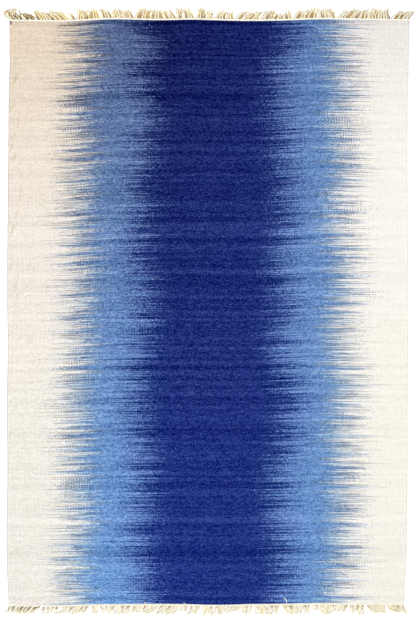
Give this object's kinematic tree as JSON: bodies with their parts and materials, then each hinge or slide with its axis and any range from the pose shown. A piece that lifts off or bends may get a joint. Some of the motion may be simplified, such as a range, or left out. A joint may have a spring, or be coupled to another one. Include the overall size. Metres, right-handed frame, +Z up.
{
  "type": "dhurrie rug",
  "caption": "Flat-woven dhurrie rug with ikat stripes along its length, a twined heading and a short warp fringe at each end, lying flat.",
  "frame": {"origin": "on the floor, under the middle of the whole rug with its fringes", "axes": "+Z up from the floor, +Y along the warp to the far end, +X along the weft to the right"},
  "size_m": [1.253, 1.854, 0.0062],
  "materials": {
    "ikat_weft": "matte weft-faced flat weave",
    "warp_cotton": "matte plied cotton yarn"
  },
  "bodies": {
    "root": {"rug_body": "ikat_weft", "fringe_far": "warp_cotton", "fringe_near": "warp_cotton"}
  },
  "joints": []
}
